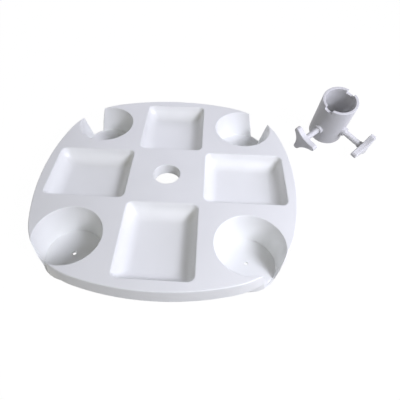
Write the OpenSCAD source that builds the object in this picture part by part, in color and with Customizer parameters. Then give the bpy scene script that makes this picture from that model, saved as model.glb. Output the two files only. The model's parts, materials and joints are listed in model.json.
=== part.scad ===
// Umbrella table tray: a moulded tray that slips over a pole, with the tube clamp that carries it.
// Millimetres, +Z up. The origin is the middle of the pole hole in the tray's top face.

/* [Tray] */
// Width of the tray across the middle of its sides
tray_w = 380; // [366:1:420]
// Radius of the long arc on each side
side_r = 365; // [330:1:420]
// Radius of the round corners
corner_r = 112; // [104:1:118]
// Height of the skirt round the edge
skirt_h = 24; // [18:0.5:32]
// Thickness of the top plate and of the skirt
wall = 2.5; // [2:0.1:3.5]

/* [Cups] */
// Distance of each cup's centre from both centre lines
cup_place = 117.7; // [115:0.1:121]
// Radius of a cup at its rim
cup_rim_r = 45.6; // [43:0.1:47]
// Radius of a cup at its floor
cup_floor_r = 39.2; // [34:0.1:42]
// Depth of a cup
cup_depth = 45.2; // [34:0.1:60]
// Thickness of a cup's wall and floor
cup_wall = 2.2; // [1.6:0.1:3]
// Width of the handle slot at the foot of a cup's outer wall
slot_foot_w = 20; // [12:0.5:26]
// Diameter of the drain hole in a cup's floor
drain_d = 5; // [3:0.5:8]

/* [Pockets] */
// Distance of a pocket's near edge from the pole's axis
pocket_near = 57; // [52:0.5:62]
// Length of a pocket, away from the pole
pocket_l = 117.6; // [100:0.2:120]
// Width of a pocket
pocket_w = 100; // [80:0.5:106]
// Depth of a pocket
pocket_depth = 21; // [16:0.5:26]
// Slope of a pocket's walls, from upright, in degrees
pocket_slope = 15; // [8:1:24]
// Radius of the cove between a pocket's walls and its floor
cove_r = 20; // [10:0.5:22]
// Radius of a pocket's corners at its rim
pocket_corner_r = 9; // [5:0.5:14]
// Thickness of a pocket's walls and floor
pocket_wall = 2.2; // [1.6:0.1:3]

/* [Sleeve] */
// Diameter of the pole hole
pole_hole_d = 39.3; // [36:0.1:42]
// Thickness of the sleeve round the pole hole
sleeve_wall = 2.4; // [1.8:0.1:3]
// Height of the sleeve
sleeve_h = 18.2; // [12:0.2:26]
// Gap on each side between a key under the tray and the clamp's notch
key_gap = 0.6; // [0.3:0.1:1.2]

/* [Clamp tube] */
// Outer diameter of the tube
tube_d = 59; // [54:0.5:64]
// Thickness of the tube's wall
tube_wall = 4.9; // [3:0.1:5.2]
// Length of the tube
tube_l = 87; // [70:0.5:120]
// Width of the two notches in the upper rim
notch_w = 14; // [8:0.2:18]
// Depth of the notches
notch_h = 6.4; // [4:0.2:10]
// Height of the screw bosses above the tube's foot
boss_z = 31.5; // [24:0.5:40]
// Diameter of the screw bosses
boss_d = 16; // [13:0.5:18]
// How far the bosses stand out of the tube
boss_proud = 5; // [4:0.5:8]

/* [Thumb screws] */
// Diameter of the shank
shank_d = 10.4; // [8:0.1:10.8]
// Length of the shank, from its tip to the knob's plate
shank_l = 39.5; // [37:0.5:42]
// Gap between the shank and its hole, on the radius
screw_gap = 0.05; // [0.03:0.01:0.1]
// Diameter of the neck under the knob's plate
neck_d = 13; // [11:0.5:15]
// Length of the neck
neck_l = 5; // [3:0.5:8]
// Radius of the knob to the tips of its three lobes
knob_r = 27.2; // [22:0.2:30]
// Radius of each lobe's tip
lobe_r = 5; // [4.5:0.1:6.5]
// Distance from the knob's middle to the waist between two lobes
waist_r = 12; // [10.5:0.1:13]
// Thickness of the knob's plate at the lobes
knob_t = 10; // [7:0.1:13]
// Rise of the knob's outer face from its edge to its middle
knob_dome = 0.8; // [0.5:0.1:3]
// Radius of the knob's edges
knob_edge = 1.5; // [1:0.1:3]
// Distance of the left knob's plate from the tube's axis
left_out = 64.2; // [62:0.1:66]
// Distance of the right knob's plate from the tube's axis
right_out = 68.8; // [65:0.1:69]
// Turn of the left knob about its screw, from one lobe straight down
left_turn = -16.5; // [-40:0.5:40]
// Turn of the right knob about its screw, from one lobe straight down
right_turn = 27.5; // [-40:0.5:40]

/* [Place of the clamp] */
// Distance of the clamp's foot to the right of the pole hole
clamp_x = 277.2; // [268:0.1:320]
// Distance of the clamp's foot behind the pole hole
clamp_y = 172.1; // [120:0.1:200]
// Turn of the clamp about the vertical
clamp_turn = -3.7; // [-30:0.1:30]

/* [Hidden] */
$fn = 96;

// How far a cut runs past the face that it opens
past = 1;
// Straight steps in each side arc, corner arc, cove, pocket corner and knob arc
side_steps = 20;
round_steps = 16;
cove_steps = 8;
bend_steps = 6;
// Width of the flat where a cup's rim would run out to nothing at the tray's edge
tip_flat = 0.4;
// A first guess of the direction that is up for the lying clamp, and how often it is made better
first_up = [0, 0.3, 1];
level_steps = 12;

quarters = [0, 90, 180, 270];
white = [0.93, 0.93, 0.95];

ground = -cup_depth - cup_wall;
side_c = tray_w / 2 - side_r;
corner_c = (side_c + sqrt(2 * pow(side_r - corner_r, 2) - pow(side_c, 2))) / 2;
side_end = atan2(corner_c, corner_c - side_c);

// The tray's outline, moved inwards by inset: a side arc and a corner arc, four times round
function turned(p, a) = [p.x * cos(a) - p.y * sin(a), p.x * sin(a) + p.y * cos(a)];
function side_point(t, inset) = [side_c + (side_r - inset) * cos(t), (side_r - inset) * sin(t)];
function corner_point(t, inset) =
    [corner_c + (corner_r - inset) * cos(t), corner_c + (corner_r - inset) * sin(t)];
function quarter(inset) = [
    for (i = [0 : side_steps]) side_point(side_end * (2 * i / side_steps - 1), inset),
    for (i = [1 : round_steps - 1]) corner_point(side_end + (90 - 2 * side_end) * i / round_steps, inset)
];
function outline(inset) = [for (a = quarters) for (p = quarter(inset)) turned(p, a)];

module outline_block(inset, low, high) {
    translate([0, 0, low]) linear_extrude(high - low) polygon(outline(inset));
}

// Half the width of the handle slot at the rim: where the cup's rim circle meets the corner arc
cup_reach = (cup_place - corner_c) * sqrt(2);
arc_reach = (pow(cup_reach, 2) + pow(corner_r, 2) - pow(cup_rim_r, 2)) / (2 * cup_reach);
slot_half = sqrt(max(pow(corner_r, 2) - pow(arc_reach, 2), pow(slot_foot_w / 2, 2))) + tip_flat;

module at_cups() {
    for (a = quarters) rotate(a) translate([cup_place, cup_place, 0]) children();
}

module cup_form(grow, low, high) {
    // A cone with the cup's taper, from low to high
    taper = (cup_rim_r - cup_floor_r) / cup_depth;
    translate([0, 0, low])
        cylinder(h = high - low, r1 = cup_rim_r + grow + taper * low,
                 r2 = cup_rim_r + grow + taper * high);
}

module handle_slot() {
    // Cut outwards from the cup's middle, narrower towards the floor
    sides = [[-slot_half, past], [-slot_half, 0], [-slot_foot_w / 2, -cup_depth],
             [slot_foot_w / 2, -cup_depth], [slot_half, 0], [slot_half, past]];
    rotate([90, 0, 135]) linear_extrude(2 * cup_rim_r) polygon(sides);
}

// The pockets: the curve of a wall, from the floor up, and the form that two such walls make crosswise
cove_lift = cove_r * (1 - sin(pocket_slope));
cove_in = (pocket_depth - cove_lift) * tan(pocket_slope) + cove_r * cos(pocket_slope);

function wall_curve(half, grow) = [
    for (i = [0 : cove_steps])
        let (t = (90 - pocket_slope) * i / cove_steps)
        [half - cove_in + (cove_r + grow) * sin(t), -pocket_depth + cove_r - (cove_r + grow) * cos(t)],
    [half + grow / cos(pocket_slope), 0],
    [half + grow / cos(pocket_slope), past]
];

function mirrored(points) = [for (i = [len(points) - 1 : -1 : 0]) [-points[i].x, points[i].y]];

function rounded_box(half_x, half_y, r) = [
    for (k = [0 : 3]) for (i = [0 : bend_steps])
        let (t = 90 * (k + i / bend_steps), sx = (k == 0 || k == 3) ? 1 : -1, sy = k < 2 ? 1 : -1)
        [sx * (half_x - r) + r * cos(t), sy * (half_y - r) + r * sin(t)]
];

module trough(half, long, grow) {
    curve = wall_curve(half, grow);
    rotate([90, 0, 0]) linear_extrude(long, center = true) polygon(concat(curve, mirrored(curve)));
}

module pocket_form(grow, high) {
    out = grow / cos(pocket_slope);
    intersection() {
        trough(pocket_w / 2, pocket_l + 4 * grow + past, grow);
        rotate(90) trough(pocket_l / 2, pocket_w + 4 * grow + past, grow);
        translate([0, 0, -pocket_depth - 2 * grow - past])
            linear_extrude(pocket_depth + 2 * grow + past + high)
                polygon(rounded_box(pocket_w / 2 + out, pocket_l / 2 + out, pocket_corner_r + out));
    }
}

module at_pockets() {
    for (a = quarters) rotate(a) translate([0, -pocket_near - pocket_l / 2, 0]) children();
}

sleeve_r = pole_hole_d / 2 + sleeve_wall;

module key() {
    // Stands in one of the clamp's notches when the clamp is pushed up under the tray
    key_w = notch_w - 2 * key_gap;
    long = tube_d / 2 - sleeve_r + sleeve_wall / 2;
    translate([sleeve_r - sleeve_wall / 2, -key_w / 2, -wall - notch_h + key_gap])
        cube([long, key_w, notch_h - key_gap + wall / 2]);
}

module tray() {
    color(white) difference() {
        union() {
            difference() {
                outline_block(0, -skirt_h, 0);
                outline_block(wall, -skirt_h - past, -wall);
            }
            intersection() {
                outline_block(0, ground - past, 0);
                at_cups() cup_form(cup_wall, ground, 0);
            }
            at_pockets() pocket_form(pocket_wall, 0);
            translate([0, 0, -sleeve_h]) cylinder(h = sleeve_h, r = sleeve_r);
            for (a = [0, 180]) rotate(a) key();
        }
        at_cups() {
            cup_form(0, -cup_depth, past);
            handle_slot();
            translate([0, 0, ground - past]) cylinder(h = cup_wall + 2 * past, d = drain_d);
        }
        at_pockets() pocket_form(0, past);
        translate([0, 0, -sleeve_h - past]) cylinder(h = sleeve_h + 2 * past, d = pole_hole_d);
    }
}

// The clamp in its own frame: foot at the origin, tube along +Z, screws along these two directions
boss_turns = [-135, -45];
boss_dirs = [for (a = boss_turns) [cos(a), sin(a), 0]];
screw_outs = [left_out, right_out];
knob_turns = [left_turn, right_turn];

module at_screw(k) {
    // Children are drawn along +X from the tube's axis
    translate([0, 0, boss_z]) rotate(boss_turns[k]) children();
}

module clamp_body() {
    difference() {
        union() {
            cylinder(h = tube_l, d = tube_d);
            for (k = [0, 1]) at_screw(k) rotate([0, 90, 0])
                cylinder(h = tube_d / 2 + boss_proud, d = boss_d);
        }
        translate([0, 0, -past]) cylinder(h = tube_l + 2 * past, d = tube_d - 2 * tube_wall);
        for (k = [0, 1]) at_screw(k) rotate([0, 90, 0])
            cylinder(h = tube_d / 2 + boss_proud + past, r = shank_d / 2 + screw_gap);
        translate([0, 0, tube_l - notch_h]) rotate(boss_turns[0])
            translate([-tube_d / 2 - past, -notch_w / 2, 0])
                cube([tube_d + 2 * past, notch_w, notch_h + past]);
    }
}

// The knob's outline: round lobe tips joined by hollow arcs
lobe_c = knob_r - lobe_r;
hollow_c = (pow(lobe_c, 2) - pow(waist_r - lobe_r, 2)) / (lobe_c - 2 * (waist_r - lobe_r));
hollow_r = hollow_c - waist_r;
lobe_end = atan2(hollow_c * sin(60), hollow_c * cos(60) - lobe_c);
hollow_end = 120 - lobe_end;

function lobe_arc() = [
    for (i = [0 : round_steps])
        let (t = lobe_end * (2 * i / round_steps - 1))
        [lobe_c + lobe_r * cos(t), lobe_r * sin(t)],
    for (i = [1 : bend_steps - 1])
        let (t = 180 + lobe_end + (hollow_end - lobe_end) * i / bend_steps)
        [hollow_c * cos(60) + hollow_r * cos(t), hollow_c * sin(60) + hollow_r * sin(t)]
];
knob_outline = [for (a = [0, 120, 240]) for (p = lobe_arc()) turned(p, a)];

// The knob's half section, turned about its axis: rounded edges and a domed outer face
function edge_arc(z, from) = [
    for (i = [0 : bend_steps])
        let (t = from + 90 * i / bend_steps)
        [knob_r - knob_edge + knob_edge * cos(t), z + knob_edge * sin(t)]
];
knob_section = concat([[0, 0]], edge_arc(knob_edge, -90), edge_arc(knob_t - knob_edge, 0),
                      [[knob_r / 2, knob_t + knob_dome * 3 / 4], [0, knob_t + knob_dome]]);

module thumb_screw(k) {
    // The knob's first lobe starts straight down and is turned about the screw
    color(white) at_screw(k) rotate([knob_turns[k], 0, 0]) rotate([0, 90, 0]) {
        translate([0, 0, screw_outs[k]]) intersection() {
            linear_extrude(knob_t + knob_dome + past) polygon(knob_outline);
            rotate_extrude() polygon(knob_section);
        }
        translate([0, 0, screw_outs[k] - neck_l]) cylinder(h = neck_l + knob_edge, d = neck_d);
        translate([0, 0, screw_outs[k] - shank_l]) cylinder(h = shank_l, d = shank_d);
    }
}

// How the clamp lies: on the lowest point of its foot and on the lowest point of each knob.
// up is the surface's normal as the clamp sees it, found by setting the three points level.
function unit(v) = v / norm(v);
function foot_point(up) = -tube_d / 2 * unit([up.x, up.y, 0]);
edge_in = knob_r - knob_edge;
function face_height(r) = r > edge_in
    ? knob_t - knob_edge + sqrt(max(pow(knob_edge, 2) - pow(r - edge_in, 2), 0))
    : lookup(r, [[0, knob_t + knob_dome], [knob_r / 2, knob_t + knob_dome * 3 / 4], [edge_in, knob_t]]);
knob_rim = concat([for (p = knob_outline) [p.x, p.y, face_height(norm(p))]],
                  [for (a = [0, 120, 240]) for (p = edge_arc(knob_t - knob_edge, 0))
                      [p.x * cos(a), p.x * sin(a), p.y]]);
function knob_place(k, p) = let (t = knob_turns[k], b = boss_dirs[k])
    [0, 0, boss_z] + (screw_outs[k] + p.z) * b + (p.x * sin(t) + p.y * cos(t)) * cross([0, 0, 1], b)
    + [0, 0, p.y * sin(t) - p.x * cos(t)];
function lowest(points, up) = let (heights = [for (p = points) p * up])
    points[search(min(heights), heights)[0]];
function knob_point(k, up) = lowest([for (p = knob_rim) knob_place(k, p)], up);
function level(up, tries) = tries == 0 ? up :
    level(unit(cross(knob_point(0, up) - foot_point(up), knob_point(1, up) - foot_point(up))), tries - 1);

up = level(unit(first_up), level_steps);
right = unit([1, 0, 0] - up.x * up);
back = cross(up, right);

module lay_clamp() {
    translate([clamp_x, clamp_y, ground - foot_point(up) * up]) rotate(clamp_turn)
        multmatrix([[right.x, right.y, right.z, 0], [back.x, back.y, back.z, 0], [up.x, up.y, up.z, 0]])
            children();
}

module pole_clamp() {
    color(white) lay_clamp() clamp_body();
}

module thumb_screw_left() {
    lay_clamp() thumb_screw(0);
}

module thumb_screw_right() {
    lay_clamp() thumb_screw(1);
}

tray();
pole_clamp();
thumb_screw_left();
thumb_screw_right();
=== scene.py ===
# %% [markdown]
# An umbrella table tray is one thin-walled white moulding: a plate with a skirt, four cups, four
# pockets and a sleeve for the pole. A short tube with two thumb screws, the pole clamp, stands
# beside it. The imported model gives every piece's place, so this lesson only makes them look real.

import json
from math import atan2, cos, degrees, radians, sin, sqrt, tan

import bmesh
import bpy
from mathutils import Matrix, Vector


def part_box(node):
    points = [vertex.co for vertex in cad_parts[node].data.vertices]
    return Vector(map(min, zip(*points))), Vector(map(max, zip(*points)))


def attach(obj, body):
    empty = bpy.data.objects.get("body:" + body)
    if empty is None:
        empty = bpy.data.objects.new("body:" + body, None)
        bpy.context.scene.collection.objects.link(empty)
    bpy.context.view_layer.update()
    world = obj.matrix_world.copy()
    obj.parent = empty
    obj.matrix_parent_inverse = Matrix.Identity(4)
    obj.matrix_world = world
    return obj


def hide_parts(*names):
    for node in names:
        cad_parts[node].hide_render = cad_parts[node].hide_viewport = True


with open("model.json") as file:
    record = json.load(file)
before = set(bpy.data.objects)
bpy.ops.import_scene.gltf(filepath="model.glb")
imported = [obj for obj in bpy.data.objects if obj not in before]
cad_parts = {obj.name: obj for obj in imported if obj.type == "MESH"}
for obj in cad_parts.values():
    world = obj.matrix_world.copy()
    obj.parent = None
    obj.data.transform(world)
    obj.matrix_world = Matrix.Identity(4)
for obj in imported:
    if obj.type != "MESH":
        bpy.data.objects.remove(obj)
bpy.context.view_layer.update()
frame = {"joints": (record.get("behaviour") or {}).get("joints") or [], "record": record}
scene = bpy.context.scene
scene.view_settings.view_transform = "Standard"

# %% [markdown]
# The camera stands in front of the tray and looks down at it at 45 degrees. Its place was worked out
# from the rims of the cups and pockets. The picture is a cut-out of a larger one, so its middle isn't
# the middle of the lens, and a small shift says so. The turns are multiplied in the order in which
# they happen to a camera on a stand: about the upright, tipped down, then tipped about its own axis.

# %% Camera
SENSOR = 36


def camera(place, yaw, down, roll, lens, shift):
    data = bpy.data.cameras.new("camera")
    data.sensor_width, data.lens = SENSOR, lens
    data.shift_x, data.shift_y = shift
    ob = bpy.data.objects.new("camera", data)
    turn = Matrix.Rotation(radians(yaw), 4, "Z") @ Matrix.Rotation(radians(90 - down), 4, "X")
    ob.matrix_world = Matrix.Translation(place) @ turn @ Matrix.Rotation(radians(roll), 4, "Z")
    scene.collection.objects.link(ob)
    return ob


scene.camera = camera(place=(0.05562, -0.38552, 0.39038), yaw=4.20, down=45.33, roll=-0.30, lens=33.0,
                      shift=(0.0375, -0.0626))
print("camera at", scene.camera.location[:])

# %% [markdown]
# Shader maths reads best as plain Python. This class wraps one socket, and adding or multiplying two
# of them lays down a Math node. Every other node comes from its one method, node: the type, what is
# set on the node first, and then the values or the wires of its inputs.

# %% A wire that can be added and multiplied
class Wire:
    def __init__(self, tree, socket=None):
        self.tree, self.socket = tree, socket

    def node(self, kind, settings=(), out=0, **inputs):
        made = self.tree.nodes.new("ShaderNode" + kind)
        for name, value in dict(settings).items():
            if name == "stops":
                for stop, (place, colour) in zip(made.color_ramp.elements, value):
                    stop.position, stop.color = place, colour
            else:
                setattr(made, name, value)
        for name, value in inputs.items():
            index = int(name[1:]) if name[1:].isdigit() else name.replace("_", " ")
            socket = made.inputs[index]
            if isinstance(value, Wire):
                self.tree.links.new(value.socket, socket)
            else:
                socket.default_value = value
        return Wire(self.tree, made.outputs[out] if made.outputs else None)

    def math(self, operation, a, b):
        return self.node("Math", {"operation": operation}, i0=a, i1=b)

    def __add__(self, other):
        return self.math("ADD", self, other)

    def __mul__(self, other):
        return self.math("MULTIPLY", self, other)


def new_tree(owner):
    owner.use_nodes = True
    owner.node_tree.nodes.clear()
    return Wire(owner.node_tree)


print("operators ready:", [name for name in ("__add__", "__mul__") if hasattr(Wire, name)])

# %% [markdown]
# The picture has a pure white ground. A lamp strong enough to burn the floor white would burn the
# white plastic too. So the world and the floor are white by themselves to the camera and to glossy
# rays, while the light that reaches the plastic stays soft and low, and the floor keeps some shadow.

# %% World and floor
WHITE = (1, 1, 1, 1)
DIM_WHITE, DIM_STRENGTH = (1.0, 1.0, 0.96, 1), 0.03
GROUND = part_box("tray")[0][2]
FLOOR_HALF, FLOOR_GAP = 6, 0.0002
FLOOR_GREY, FLOOR_GLOW, GLOW_SHARE = (0.4, 0.4, 0.4, 1), 1.045, 0.95


def sees_white(t):
    """1 for a ray from the camera, off a gloss or through clear stuff, and 0 for all others."""
    path = t.node("LightPath")
    sees = t.math("MAXIMUM", path, Wire(t.tree, path.socket.node.outputs["Is Glossy Ray"]))
    return t.math("MAXIMUM", sees, Wire(t.tree, path.socket.node.outputs["Is Transmission Ray"]))


def studio_world():
    world = bpy.data.worlds.new("studio")
    w = new_tree(world)
    dim = w.node("Background", Color=DIM_WHITE, Strength=DIM_STRENGTH)
    white = w.node("Background", Color=WHITE, Strength=1.0)
    w.node("OutputWorld", Surface=w.node("MixShader", i0=sees_white(w), i1=dim, i2=white))
    return world


def floor_material():
    mat = bpy.data.materials.new("white_ground")
    t = new_tree(mat)
    matt = t.node("BsdfDiffuse", Color=FLOOR_GREY)
    lit = t.node("Emission", Color=WHITE, Strength=FLOOR_GLOW)
    t.node("OutputMaterial", Surface=t.node("MixShader", i0=sees_white(t) * GLOW_SHARE, i1=matt, i2=lit))
    return mat


def floor():
    bm = bmesh.new()
    bmesh.ops.create_grid(bm, x_segments=1, y_segments=1, size=FLOOR_HALF)
    bmesh.ops.translate(bm, vec=(0, 0, GROUND - FLOOR_GAP), verts=bm.verts)
    mesh = bpy.data.meshes.new("floor")
    bm.to_mesh(mesh)
    bm.free()
    ob = bpy.data.objects.new("floor", mesh)
    ob.data.materials.append(floor_material())
    scene.collection.objects.link(ob)
    return ob


scene.world = studio_world()
floor()
print("floor at", GROUND)

# %% [markdown]
# A soft box stands in front and to the right, some 40 degrees up: it lights the left walls of cups
# and pockets and leaves the right ones grey. Three wide weak ones fill in from the front, the back and
# the left, so no shadow goes black, and a small one near the clamp lifts its rim and its knobs. A place
# is given by its azimuth from the X axis and its elevation, both round the point that it lights.

# %% Lamps
MIDDLE, CLAMP_AT = (0.03, 0, 0), (0.277, 0.15, 0)
WIDE, FAR = (0.9, 0.9), 1.5


def lamp(name, azimuth, elevation, distance, size, power, colour, aim=MIDDLE):
    data = bpy.data.lights.new(name, "AREA")
    data.shape, data.size, data.size_y = "RECTANGLE", size[0], size[1]
    data.energy, data.color = power, colour
    ob = bpy.data.objects.new(name, data)
    turn = Matrix.Rotation(radians(azimuth + 90), 4, "Z") @ Matrix.Rotation(radians(90 - elevation), 4, "X")
    ob.matrix_world = Matrix.Translation(aim) @ turn @ Matrix.Translation((0, 0, distance))
    scene.collection.objects.link(ob)
    return ob


# Name, azimuth, elevation, distance, size, power in watts, colour, and what it is aimed at.
lamp("key", -40, 38, 1.2, (0.4, 0.35), 10.9, (0.98, 0.99, 1.12))
lamp("front_fill", 280, 30, FAR, WIDE, 1.5, (1.04, 1.0, 0.85))
lamp("back_fill", 105, 30, FAR, WIDE, 3.9, (0.97, 0.97, 1.15))
lamp("left_fill", 195, 30, FAR, WIDE, 2.4, (1.02, 1.0, 0.9))
lamp("clamp_light", -20, 35, 0.55, (0.2, 0.2), 1.2, (0.98, 0.96, 1.14), CLAMP_AT)

# %% [markdown]
# The pieces are modelled in millimetres, as a drawing is. swing turns one vertex about a centre and
# leaves an arc behind. solid closes a shape, and work joins shapes to it or cuts them out of it, as
# the two halves of a mould leave the plastic between them. The scaling to metres comes last.

# %% Workshop helpers
MM = 0.001
SQUARE_TO = 0.999


def swing(bm, vert, centre, angle, steps):
    """Turns one vertex about a centre by an angle in degrees and returns the arc's last vertex."""
    turned = bmesh.ops.spin(bm, geom=[vert], cent=centre, axis=(0, 0, 1), angle=radians(angle), steps=steps)
    return next(item for item in turned["geom_last"] if isinstance(item, bmesh.types.BMVert))


def chain(bm, points):
    """A vertex at the first point, extruded through the others."""
    vert = bm.verts.new(points[0])
    for point in points[1:]:
        vert = bmesh.ops.extrude_vert_indiv(bm, verts=[vert])["verts"][0]
        vert.co = point
    return vert


def once(items):
    """Each item once, in the order in which it first comes, where a set would have another each run."""
    return list(dict.fromkeys(items))


def faces_facing(bm, axis, sign):
    return [f for f in bm.faces if f.normal[axis] * sign > SQUARE_TO]


def pull(bm, faces, vec):
    """Extrudes faces as one region and moves the new ones by vec."""
    out = bmesh.ops.extrude_face_region(bm, geom=faces)["geom"]
    bmesh.ops.translate(bm, vec=vec, verts=[v for v in out if isinstance(v, bmesh.types.BMVert)])
    new = [f for f in out if isinstance(f, bmesh.types.BMFace)]
    bmesh.ops.delete(bm, geom=[f for f in faces if f.is_valid and f not in new], context="FACES_ONLY")
    return new


def round_edges(bm, edges, radius, segments):
    bmesh.ops.bevel(bm, geom=list(edges), offset=radius, offset_type="OFFSET", segments=segments,
                    profile=0.5, affect="EDGES", clamp_overlap=False, material=-1)


def solid(name, *parts):
    """One object from closed bmeshes that don't touch each other."""
    mesh = bpy.data.meshes.new(name)
    whole = bmesh.new()
    for bm in parts:
        bmesh.ops.recalc_face_normals(bm, faces=bm.faces)
        part = bpy.data.meshes.new("part")
        bm.to_mesh(part)
        bm.free()
        whole.from_mesh(part)
        bpy.data.meshes.remove(part)
    whole.to_mesh(mesh)
    whole.free()
    ob = bpy.data.objects.new(name, mesh)
    scene.collection.objects.link(ob)
    return ob


def work(ob, steps):
    """Joins or cuts other objects, one after the other, and keeps the result as plain mesh."""
    for how, tool in steps:
        step = ob.modifiers.new(how.lower(), "BOOLEAN")
        step.operation, step.solver, step.object = how, "EXACT", tool
    done = bpy.data.meshes.new_from_object(ob.evaluated_get(bpy.context.evaluated_depsgraph_get()))
    ob.modifiers.clear()
    ob.data = done
    for how, tool in steps:
        bpy.data.objects.remove(tool)
    print(ob.name, "has", len(done.vertices), "vertices and", len(done.polygons), "faces")
    return ob


print("helpers ready")

# %% [markdown]
# The outline is four long arcs joined by four round corners. Each arc is one vertex swung about its
# centre. The loop is filled, pulled down to the skirt's height, rounded over its top edge, and
# hollowed from below by an inset that is pulled up again, which leaves the plate and the skirt.

# %% The tray's plate and skirt
SIDE_R, CORNER_R, HALF_W, SKIRT, WALL = 365, 112, 190, 24, 2.5
EDGE_ROUND, FOOT_ROUND = 1.6, 0.5
SIDE_STEPS, CORNER_STEPS = 32, 24
SIDE_C = HALF_W - SIDE_R
CORNER_C = (SIDE_C + sqrt(2 * (SIDE_R - CORNER_R) ** 2 - SIDE_C ** 2)) / 2
SIDE_END = degrees(atan2(CORNER_C, CORNER_C - SIDE_C))


def outline(bm, inset, z):
    """The filled outline, moved inwards by inset, at height z."""
    end = radians(SIDE_END)
    vert = bm.verts.new((SIDE_C + (SIDE_R - inset) * cos(end), -(SIDE_R - inset) * sin(end), z))
    for quarter in range(4):
        turn = Matrix.Rotation(radians(90 * quarter), 3, "Z")
        vert = swing(bm, vert, turn @ Vector((SIDE_C, 0, z)), 2 * SIDE_END, SIDE_STEPS)
        vert = swing(bm, vert, turn @ Vector((CORNER_C, CORNER_C, z)), 90 - 2 * SIDE_END, CORNER_STEPS)
    bmesh.ops.remove_doubles(bm, verts=bm.verts, dist=0.001)
    return bmesh.ops.contextual_create(bm, geom=bm.edges)["faces"]


def block(inset, low, high):
    bm = bmesh.new()
    pull(bm, outline(bm, inset, high), (0, 0, low - high))
    bmesh.ops.holes_fill(bm, edges=bm.edges)
    bmesh.ops.recalc_face_normals(bm, faces=bm.faces)
    return bm


def plate_and_skirt():
    bm = block(0, -SKIRT, 0)
    under = faces_facing(bm, 2, -1)
    bmesh.ops.inset_region(bm, faces=under, thickness=WALL, use_even_offset=True)
    pull(bm, under, (0, 0, SKIRT - WALL))
    bmesh.ops.recalc_face_normals(bm, faces=bm.faces)
    top = faces_facing(bm, 2, 1)
    round_edges(bm, max(top, key=lambda f: f.calc_area()).edges, EDGE_ROUND, 4)
    foot = [f for f in faces_facing(bm, 2, -1) if abs(f.calc_center_median().z + SKIRT) < 0.01]
    rim = once(e for f in foot for e in f.edges if sum(g in foot for g in e.link_faces) == 1)
    round_edges(bm, rim, FOOT_ROUND, 2)
    return bm


tray = solid("tray_moulding", plate_and_skirt())
print("outline half width", HALF_W, "corner centre", round(CORNER_C, 2), "faces", len(tray.data.polygons))

# %% [markdown]
# A cup could be cut with a plain cone, but then its rim would be a knife edge. So the tool that cuts
# it is turned on a lathe from a drawn half section: floor, a fine groove, the tapered wall, and a
# flare that leaves the rim rounded. The bends come from bevelling the section's own corners. The
# groove shows in the photo as a thin grey line round each floor, where a wet glass would drip.

# %% Cups
CUP_AT, CUP_RIM, CUP_FLOOR, CUP_DEPTH, CUP_WALL = 117.7, 45.6, 39.2, 45.2, 2.2
TAPER = (CUP_RIM - CUP_FLOOR) / CUP_DEPTH
GROOVE, GROOVE_TOP, GROOVE_FOOT = 0.5, 1.4, 1.1
RIM_BEND, FLOOR_BEND, GROOVE_BEND, SHELL_BEND = 1.2, 0.5, 0.2, 1.5
CORNERS = [(1, 1), (-1, 1), (-1, -1), (1, -1)]
# A cutting tool ends in a lid: a hair above the plate, and this far past it.
FLANGE, LID = 0.012, 6
# A shell reaches up into the plate to this depth, and a turned tool has end caps of this radius.
LAP, CAP = 1.8, 3
LID_R = 52
LATHE_STEPS = 96


def lathe(section, bends, steps=LATHE_STEPS):
    """Turns a half section, rounded at some of its corners, about the Z axis."""
    bm = bmesh.new()
    chain(bm, [(r, 0, z) for r, z in section])
    for index, radius in bends:
        point = Vector((section[index][0], 0, section[index][1]))
        corner = min(bm.verts, key=lambda v: (v.co - point).length)
        a, b = [edge.other_vert(corner).co - corner.co for edge in corner.link_edges]
        bmesh.ops.bevel(bm, geom=[corner], offset=radius / tan(a.angle(b) / 2), offset_type="OFFSET",
                        segments=5, profile=0.5, affect="VERTICES", material=-1)
    bmesh.ops.spin(bm, geom=bm.verts[:] + bm.edges[:], cent=(0, 0, 0), axis=(0, 0, 1), angle=radians(360),
                   steps=steps, use_merge=True)
    bmesh.ops.holes_fill(bm, edges=[e for e in bm.edges if e.is_boundary])
    return bm


def at(bm, x, y, z=0, turn=0):
    """Turns a shape about the upright and puts it in its place."""
    bmesh.ops.rotate(bm, cent=(0, 0, 0), matrix=Matrix.Rotation(radians(turn), 3, "Z"), verts=bm.verts)
    bmesh.ops.translate(bm, vec=(x, y, z), verts=bm.verts)
    return bm


def cup_tool():
    low = -CUP_DEPTH - GROOVE
    return lathe([(CAP, -CUP_DEPTH), (CUP_FLOOR - GROOVE_TOP, -CUP_DEPTH), (CUP_FLOOR - GROOVE_FOOT, low),
                  (CUP_FLOOR, low), (CUP_RIM, FLANGE), (LID_R, FLANGE), (LID_R, LID), (CAP, LID)],
                 [(4, RIM_BEND), (3, FLOOR_BEND), (1, GROOVE_BEND)])


def cup_shell():
    foot, wide = CUP_DEPTH + CUP_WALL, CUP_RIM + CUP_WALL
    return lathe([(CAP, -foot), (wide - TAPER * foot, -foot), (wide - TAPER * LAP, -LAP), (CAP, -LAP)],
                 [(1, SHELL_BEND)])


def four_cups(make, turn=0, step=0):
    """A shape at each cup: the first is turned by turn, and each of the others by step more."""
    return [at(make(), x * CUP_AT, y * CUP_AT, turn=turn + step * k) for k, (x, y) in enumerate(CORNERS)]


TRIM_IN, TRIM_LOW, TRIM_HIGH = 0.05, -60, 1
shells = solid("cup_shells", *four_cups(cup_shell))
work(shells, [("INTERSECT", solid("trim", block(TRIM_IN, TRIM_LOW, TRIM_HIGH)))])

# %% [markdown]
# Each pocket is a basin whose walls lean out 15 degrees and run into the floor in a wide cove. A
# bevel can't make a cove wider than the corner that it turns round. So a rounded rectangle is pulled
# down in small steps and drawn in at each one, and its corners shrink with it into a soft mitre.

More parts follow.
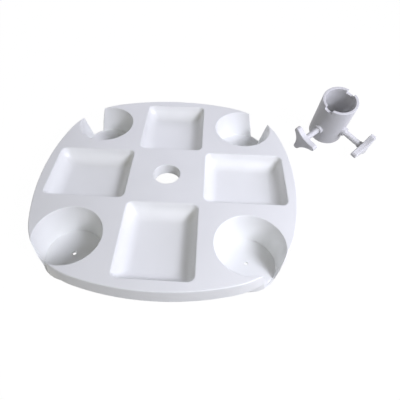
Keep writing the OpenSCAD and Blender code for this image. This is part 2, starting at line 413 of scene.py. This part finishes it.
# %% Pockets
POCKET_NEAR, POCKET_L, POCKET_W, POCKET_DEPTH = 57, 117.6, 100, 21
SLOPE, COVE, POCKET_CORNER, POCKET_WALL, POCKET_RIM = radians(15), 20, 9, 2.2, 2.0
COVE_IN = (POCKET_DEPTH - COVE * (1 - sin(SLOPE))) * tan(SLOPE) + COVE * cos(SLOPE)
COVE_STEPS, RIM_STEPS, CORNER_SEGMENTS = 10, 5, 10
LID_OUT = 5


def cove(grow):
    """From the foot of the wall to the floor: how far in, and how high."""
    for step in range(COVE_STEPS + 1):
        angle = (radians(90) - SLOPE) * (1 - step / COVE_STEPS)
        yield COVE_IN - (COVE + grow) * sin(angle), COVE - POCKET_DEPTH - (COVE + grow) * cos(angle)


def rim_bend(radius):
    """From the plate over the rounded rim to the wall."""
    for step in range(RIM_STEPS + 1):
        angle = (radians(90) - SLOPE) * step / RIM_STEPS
        inward = radius * (sin(angle) - (1 - sin(SLOPE)) / cos(SLOPE))
        yield inward, radius * (cos(angle) - 1) + FLANGE * (step == 0)


def basin(levels, corner):
    """A rounded rectangle pulled down through the levels, (how far in, how high), and closed."""
    bm = bmesh.new()
    bmesh.ops.create_grid(bm, x_segments=1, y_segments=1, size=1)
    bmesh.ops.scale(bm, vec=(POCKET_W / 2, POCKET_L / 2, 1), verts=bm.verts)
    bmesh.ops.bevel(bm, geom=bm.verts[:], offset=corner, offset_type="OFFSET", segments=CORNER_SEGMENTS,
                    profile=0.5, affect="VERTICES", material=-1)
    bmesh.ops.delete(bm, geom=bm.faces[:], context="FACES_ONLY")
    ring, inward, z = bm.edges[:], 0, 0
    for now, height in levels:
        if (inward, z) != (0, 0):
            drawn = bmesh.ops.extrude_edge_only(bm, edges=ring)["geom"]
            ring = [item for item in drawn if isinstance(item, bmesh.types.BMEdge)]
        verts = once(v for e in ring for v in e.verts)
        wide, long = POCKET_W / 2 - inward, POCKET_L / 2 - inward
        shrink = ((wide + inward - now) / wide, (long + inward - now) / long, 1)
        bmesh.ops.scale(bm, vec=shrink, verts=verts)
        bmesh.ops.translate(bm, vec=(0, 0, height - z), verts=verts)
        inward, z = now, height
    bmesh.ops.holes_fill(bm, edges=[e for e in bm.edges if e.is_boundary])
    return bm


def pocket_tool():
    return basin([(-LID_OUT, LID), (-LID_OUT, FLANGE), *rim_bend(POCKET_RIM), *cove(0)], POCKET_CORNER)


def pocket_shell():
    start = (tan(SLOPE) * LAP - POCKET_WALL / cos(SLOPE), -LAP)
    return basin([start, *cove(POCKET_WALL)], POCKET_CORNER + POCKET_WALL)


def four_pockets(make):
    middle = POCKET_NEAR + POCKET_L / 2
    return [at(make(), middle * sin(radians(turn)), -middle * cos(radians(turn)), turn=turn)
            for turn in (0, 90, 180, 270)]


print("a cove reaches", round(COVE_IN, 2), "mm in from the rim")

# %% [markdown]
# The outer wall of each cup is open for a mug's handle. Its cut is a wedge that runs outwards along
# the diagonal: as wide at the rim as the place where the cup breaks through the tray's edge, and
# narrower at the foot. A drain hole goes through each cup's floor.

# %% Handle slots, drains and the pole hole
HOLE_R, SLEEVE_R, SLEEVE_H = 19.65, 22.05, 18.2
TUBE_R, NOTCH_W, NOTCH_H, KEY_GAP = 29.5, 14, 6.4, 0.6
REACH = (CUP_AT - CORNER_C) * sqrt(2)
ACROSS = (REACH ** 2 + CORNER_R ** 2 - CUP_RIM ** 2) / (2 * REACH)
SLOT_EASE, SLOT_FROM, SLOT_L, SLOT_LID = 0.4, 25, 70, 8
SLOT_TOP, SLOT_FOOT = sqrt(CORNER_R ** 2 - ACROSS ** 2) + SLOT_EASE, 10
DRAIN_R, DRAIN_LID_R, DRAIN_BEND, DRAIN_LOW, DRAIN_HIGH = 2.5, 4, 0.5, -52, -40
DRAIN_CAP, DRAIN_STEPS = 0.5, 32
HOLE_LOW, HOLE_LID_R, SLEEVE_BEND, KEY_LAP = -25, 24, 0.6, 1.2


def slot_tool():
    bm = bmesh.new()
    half = [(SLOT_FOOT, -CUP_DEPTH), (SLOT_TOP, 0), (SLOT_TOP, SLOT_LID)]
    chain(bm, [(SLOT_FROM, y, z) for y, z in [(-y, z) for y, z in reversed(half)] + half])
    pull(bm, bmesh.ops.contextual_create(bm, geom=bm.verts)["faces"], (SLOT_L, 0, 0))
    bmesh.ops.holes_fill(bm, edges=[e for e in bm.edges if e.is_boundary])
    return bm


def drain_tool():
    top = FLANGE - CUP_DEPTH
    return lathe([(DRAIN_CAP, DRAIN_LOW), (DRAIN_R, DRAIN_LOW), (DRAIN_R, top), (DRAIN_LID_R, top),
                  (DRAIN_LID_R, DRAIN_HIGH), (DRAIN_CAP, DRAIN_HIGH)], [(2, DRAIN_BEND)], DRAIN_STEPS)


def pole_tool():
    return lathe([(CAP, HOLE_LOW), (HOLE_R, HOLE_LOW), (HOLE_R, FLANGE), (HOLE_LID_R, FLANGE),
                  (HOLE_LID_R, LID), (CAP, LID)], [(2, RIM_BEND)])


def sleeve():
    return lathe([(CAP, -SLEEVE_H), (SLEEVE_R, -SLEEVE_H), (SLEEVE_R, -LAP), (CAP, -LAP)],
                 [(1, SLEEVE_BEND)])


def key(turn):
    """A small rib under the plate that sits in one of the clamp's notches."""
    bm = bmesh.new()
    near, low, high = SLEEVE_R - KEY_LAP, KEY_GAP - WALL - NOTCH_H, -LAP
    bmesh.ops.create_cube(bm, size=1)
    bmesh.ops.scale(bm, vec=(TUBE_R - near, NOTCH_W - 2 * KEY_GAP, high - low), verts=bm.verts)
    bmesh.ops.translate(bm, vec=((TUBE_R + near) / 2, 0, (high + low) / 2), verts=bm.verts)
    return at(bm, 0, 0, turn=turn)


work(tray, [
    ("UNION", shells),
    ("UNION", solid("pocket_shells", *four_pockets(pocket_shell), sleeve())),
    ("UNION", solid("keys", key(0), key(180))),
    ("DIFFERENCE", solid("tools", *four_pockets(pocket_tool), pole_tool(), *four_cups(cup_tool))),
    ("DIFFERENCE", solid("slots", *four_cups(slot_tool, 45, 90), *four_cups(drain_tool))),
])

# %% [markdown]
# A glossy surface shows every fault of its shading. The faces are smoothed only where they meet at
# under 35 degrees, and Weighted Normal lets large faces decide, so the plate stays truly flat.

# %% Finish a piece
SMOOTH_UNDER = 35
# Of the plastics: how often the colour drifts and the gloss changes in a metre, and by how much.
DRIFTS, GRAINS, TINT, UNEVEN = 14.0, 150.0, 0.015, 0.04
WAVE_HEIGHT, WAVE_STRENGTH, IOR = 0.0006, 0.15, 1.5


def finish(ob, material, body, nodes):
    ob.data.transform(Matrix.Scale(MM, 4))
    ob.data.shade_smooth()
    ob.data.set_sharp_from_angle(angle=radians(SMOOTH_UNDER))
    even = ob.modifiers.new("even_shading", "WEIGHTED_NORMAL")
    even.mode, even.weight, even.keep_sharp = "FACE_AREA", 100, True
    ob.data.materials.clear()
    ob.data.materials.append(material)
    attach(ob, body)
    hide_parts(*nodes)
    return ob


def plastic(name, colour, roughness, shine):
    """A moulded plastic: its colour drifts, its gloss is finely uneven, and large faces wave slightly."""
    mat = bpy.data.materials.new(name)
    t = new_tree(mat)
    place = t.node("TexCoord", out=3)
    drift = t.node("TexNoise", Vector=place, Scale=DRIFTS, Detail=2.0)
    grain = t.node("TexNoise", Vector=place, Scale=GRAINS, Detail=1.0)
    thin, thick = [(*(c * share for c in colour), 1) for share in (1 - TINT, 1 + TINT)]
    tint = t.node("ValToRGB", {"stops": [(0.35, thin), (0.65, thick)]}, Fac=drift)
    waves = t.node("Bump", Strength=WAVE_STRENGTH, Distance=WAVE_HEIGHT, Height=drift)
    gloss = grain * UNEVEN + (roughness - UNEVEN / 2)
    t.node("OutputMaterial", Surface=t.node("BsdfPrincipled", Base_Color=tint, Roughness=gloss, IOR=IOR,
                                            Specular_IOR_Level=shine, Normal=waves))
    return mat


white_gloss = plastic("white_gloss", (0.895, 0.905, 0.895), 0.31, 0.5)
finish(tray, white_gloss, "tray_and_clamp", ["tray"])

# %% [markdown]
# The clamp leans on its foot and on one lobe of each knob, so it is easier to model it upright and to
# lay it down afterwards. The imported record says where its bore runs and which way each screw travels,
# and these three directions give the turn that lays it down.

# %% How the clamp lies
BORE_R, TUBE_L, BOSS_Z, BOSS_R, BOSS_OUT, SCREW_HOLE = 24.6, 87, 31.5, 8, 34.5, 5.25
bore = next(m for m in frame["record"]["mounts"] if m["name"] == "clamp_bore")
outwards = {j["child"]: -Vector(j["axis"]).normalized() for j in frame["joints"]}
side = (outwards["screw_right"] - outwards["screw_left"]).normalized()
along = Vector(bore["axis"]).normalized()
LAID = Matrix((side, along.cross(side), along)).transposed().to_4x4()
LAID.translation = Vector(bore["pos_m"]) / MM - along * TUBE_L / 2


def boss_frame(turn):
    """Z runs outwards along a screw, from the tube's axis."""
    aside = Matrix.Rotation(radians(turn), 4, "Z") @ Matrix.Rotation(radians(90), 4, "Y")
    return Matrix.Translation((0, 0, BOSS_Z)) @ aside


def placed(bm, matrix):
    bmesh.ops.transform(bm, matrix=matrix, verts=bm.verts)
    return bm


print("the clamp leans", round(degrees(along.angle(Vector((0, 0, 1)))), 2), "degrees")

# %% [markdown]
# The tube is a closed section turned on the lathe, with round lips. Two bosses are joined to it, and
# the bore of each screw and the notch in the rim are cut. Then every sharp edge gets a small radius,
# as a mould would leave it, and where a boss meets the tube the same bevel makes a fillet.

# %% Tube clamp
BOSS_TURNS = (-135, -45)
ROD_CAP, ROD_STEPS, HOLE_FROM, HOLE_TO = 1, 48, 12, 40
BOSS_BEND, HOLE_BEND, NOTCH_BEND, MOULD_EDGE = 0.8, 0.5, 1.2, 0.5
BORE_LIP, FOOT_LIP, RIM_LIP = 0.6, 0.8, 1.0
NOTCH_L, SHARP_OVER = 70, 45


def ring(section, bends):
    """Turns a closed section about the Z axis."""
    bm = bmesh.new()
    last = chain(bm, [(r, 0, z) for r, z in section])
    bm.verts.ensure_lookup_table()
    bm.edges.new((last, bm.verts[0]))
    for index, radius in bends:
        point = Vector((section[index][0], 0, section[index][1]))
        corner = min(bm.verts, key=lambda v: (v.co - point).length)
        bmesh.ops.bevel(bm, geom=[corner], offset=radius, offset_type="OFFSET", segments=4,
                        profile=0.5, affect="VERTICES", material=-1)
    bmesh.ops.spin(bm, geom=bm.verts[:] + bm.edges[:], cent=(0, 0, 0), axis=(0, 0, 1), angle=radians(360),
                   steps=LATHE_STEPS, use_merge=True)
    return bm


def boss():
    start = BORE_R + 2
    return lathe([(ROD_CAP, start), (BOSS_R, start), (BOSS_R, BOSS_OUT), (ROD_CAP, BOSS_OUT)],
                 [(2, BOSS_BEND)], ROD_STEPS)


def screw_hole():
    lip, wide = BOSS_OUT + FLANGE, BOSS_R + 1
    return lathe([(ROD_CAP, HOLE_FROM), (SCREW_HOLE, HOLE_FROM), (SCREW_HOLE, lip), (wide, lip),
                  (wide, HOLE_TO), (ROD_CAP, HOLE_TO)], [(2, HOLE_BEND)], ROD_STEPS)


def notch():
    bm = bmesh.new()
    bmesh.ops.create_cube(bm, size=1)
    bmesh.ops.scale(bm, vec=(NOTCH_L, NOTCH_W, 2 * NOTCH_H), verts=bm.verts)
    low = [e for e in bm.edges if abs(e.verts[0].co.x - e.verts[1].co.x) > 1 and e.verts[0].co.z < 0]
    round_edges(bm, low, NOTCH_BEND, 3)
    return at(bm, 0, 0, TUBE_L, turn=BOSS_TURNS[0])


def soften(ob, radius, segments):
    """Rounds every sharp edge of a finished object."""
    bm = bmesh.new()
    bm.from_mesh(ob.data)
    bmesh.ops.remove_doubles(bm, verts=bm.verts, dist=0.002)
    sharp = [e for e in bm.edges if e.is_manifold and e.calc_face_angle() > radians(SHARP_OVER)]
    round_edges(bm, sharp, radius, segments)
    bm.to_mesh(ob.data)
    bm.free()
    print(ob.name, "had", len(sharp), "sharp edges to round")


clamp = solid("clamp_tube", ring([(BORE_R, 0), (TUBE_R, 0), (TUBE_R, TUBE_L), (BORE_R, TUBE_L)],
                                 [(0, BORE_LIP), (1, FOOT_LIP), (2, RIM_LIP), (3, RIM_LIP)]))
work(clamp, [
    ("UNION", solid("bosses", *[placed(boss(), boss_frame(turn)) for turn in BOSS_TURNS])),
    ("DIFFERENCE", solid("screw_holes", *[placed(screw_hole(), boss_frame(turn)) for turn in BOSS_TURNS])),
    ("DIFFERENCE", solid("notch", notch())),
])
soften(clamp, MOULD_EDGE, 3)
clamp.data.transform(LAID)
# The clamp is the same white plastic as the tray, but its colour is set much darker: painted shade,
# standing in for the dimmer light that falls on it.
clamp_plastic_painted_shade = plastic("clamp_plastic_painted_shade", (0.63, 0.63, 0.635), 0.40, 0.3)
finish(clamp, clamp_plastic_painted_shade, "tray_and_clamp", ["pole_clamp"])

# %% [markdown]
# A thread is a ramp that climbs one pitch in each turn. One tooth of its section is spun round and
# lifted a little at each step, and its foot meets the top of the turn before. The rod is then cut
# square at both ends, and a blank with a chamfer trims its tip, as a die would leave it.

# %% Thumb screws
# The screws are the same white plastic as the tray, but their colour is set much darker: painted shade,
# standing in for the dimmer light that falls on them.
screw_plastic_painted_shade = plastic("screw_plastic_painted_shade", (0.68, 0.68, 0.685), 0.36, 0.3)
SHANK_R, SHANK_L, PITCH, TOOTH, FLANK, NECK_R, NECK_L = 5.2, 39.5, 1.5, 0.3, 0.4, 6.5, 5
TIP_CAP, TIP_R, TIP_TAPER, SPARE, THREAD_STEPS = 3.2, 4.1, 1, 0.1, 24
COLLAR_IN, GROOVE_AT, GROOVE_W, GROOVE_SLANT, GROOVE_IN, COLLAR_BEND = (0.5, 0.3), 2, 1, 0.2, 1, 0.4
GROOVE_LIP = 0.15
KNOB_R, LOBE_R, WAIST, KNOB_T, DOME, EDGE = 27.2, 5, 12, 10, 0.8, 1.5
LOBE_STEPS, HOLLOW_STEPS, DOME_RINGS = 14, 10, (0.85, 0.65, 0.4, 0.15)


def threaded_rod(low, high):
    bm = bmesh.new()
    turns = int((high - low) / PITCH) + 3
    chain(bm, [(SHANK_R - TOOTH, 0, 0), (SHANK_R, 0, PITCH * FLANK), (SHANK_R, 0, PITCH * (1 - FLANK)),
               (SHANK_R - TOOTH, 0, PITCH)])
    bmesh.ops.translate(bm, vec=(0, 0, low - 1.5 * PITCH), verts=bm.verts)
    bmesh.ops.spin(bm, geom=bm.verts[:] + bm.edges[:], cent=(0, 0, 0), axis=(0, 0, 1),
                   angle=radians(360 * turns), steps=THREAD_STEPS * turns,
                   dvec=(0, 0, PITCH / THREAD_STEPS))
    bmesh.ops.remove_doubles(bm, verts=bm.verts, dist=0.01)
    for z, up in ((low, -1), (high, 1)):
        bmesh.ops.bisect_plane(bm, geom=bm.verts[:] + bm.edges[:] + bm.faces[:], plane_co=(0, 0, z),
                               plane_no=(0, 0, up), clear_outer=True)
        cut = [e for e in bm.edges if e.is_boundary and abs(e.verts[0].co.z - z) < 0.001]
        bmesh.ops.holes_fill(bm, edges=cut)
    return bm


def knob():
    """Three lobes joined by hollow sides, pulled up to a plate with round edges and a domed face."""
    bm = bmesh.new()
    lobe_at = KNOB_R - LOBE_R
    hollow_at = (lobe_at ** 2 - (WAIST - LOBE_R) ** 2) / (lobe_at - 2 * (WAIST - LOBE_R))
    lobe_end = atan2(hollow_at * sin(radians(60)), hollow_at * cos(radians(60)) - lobe_at)
    vert = bm.verts.new((lobe_at + LOBE_R * cos(lobe_end), -LOBE_R * sin(lobe_end), 0))
    for turn in (0, 120, 240):
        round_it = Matrix.Rotation(radians(turn), 3, "Z")
        vert = swing(bm, vert, round_it @ Vector((lobe_at, 0, 0)), 2 * degrees(lobe_end), LOBE_STEPS)
        hollow = round_it @ Vector((hollow_at * cos(radians(60)), hollow_at * sin(radians(60)), 0))
        vert = swing(bm, vert, hollow, 120 - 2 * degrees(lobe_end), HOLLOW_STEPS)
    bmesh.ops.remove_doubles(bm, verts=bm.verts, dist=0.001)
    pull(bm, bmesh.ops.contextual_create(bm, geom=bm.edges)["faces"], (0, 0, KNOB_T))
    bmesh.ops.holes_fill(bm, edges=[e for e in bm.edges if e.is_boundary])
    bmesh.ops.recalc_face_normals(bm, faces=bm.faces)
    flat = faces_facing(bm, 2, 1) + faces_facing(bm, 2, -1)
    round_edges(bm, once(e for f in flat for e in f.edges), EDGE, 5)
    face, size = max(faces_facing(bm, 2, 1), key=lambda f: f.calc_area()), 1.0
    for now in DOME_RINGS:
        (face,) = pull(bm, [face], (0, 0, DOME * (size ** 2 - now ** 2)))
        bmesh.ops.scale(bm, vec=(now / size, now / size, 1), verts=face.verts[:])
        size = now
    return bm


def blank(tip, end):
    """A smooth rod, a little thicker than the thread, with a tapered tip."""
    wide = SHANK_R + SPARE
    return lathe([(TIP_CAP, tip), (TIP_R, tip), (wide, tip + TIP_TAPER), (wide, end), (ROD_CAP, end)], [],
                 ROD_STEPS)


def collar(foot, top):
    """The thick end of the shank under the knob, with a groove round it."""
    low, high, inner = foot + GROOVE_AT, foot + GROOVE_AT + GROOVE_W, NECK_R - GROOVE_IN
    return lathe([(ROD_CAP, foot), (NECK_R - COLLAR_IN[0], foot), (NECK_R - COLLAR_IN[1], low),
                  (inner, low + GROOVE_SLANT), (inner, high - GROOVE_SLANT), (NECK_R, high), (NECK_R, top),
                  (ROD_CAP, top)], [(5, GROOVE_LIP), (1, COLLAR_BEND)], ROD_STEPS)


def thumb_screw(side, out, turn, twist):
    """A screw whose plate starts at out from the tube's axis, turned by twist about itself."""
    tip, neck = out - SHANK_L, out - NECK_L
    screw = solid(f"screw_{side}_moulding", threaded_rod(tip, neck + 1))
    work(screw, [
        ("INTERSECT", solid("blank", blank(tip, neck + 1))),
        ("UNION", solid("neck", collar(neck, out + EDGE))),
        ("UNION", solid("knob", at(knob(), 0, 0, out))),
    ])
    screw.data.transform(LAID @ boss_frame(turn) @ Matrix.Rotation(radians(twist), 4, "Z"))
    return finish(screw, screw_plastic_painted_shade, f"screw_{side}", [f"thumb_screw_{side}"])


thumb_screw("left", 64.2, BOSS_TURNS[0], -16.5)
thumb_screw("right", 68.8, BOSS_TURNS[1], 27.5)
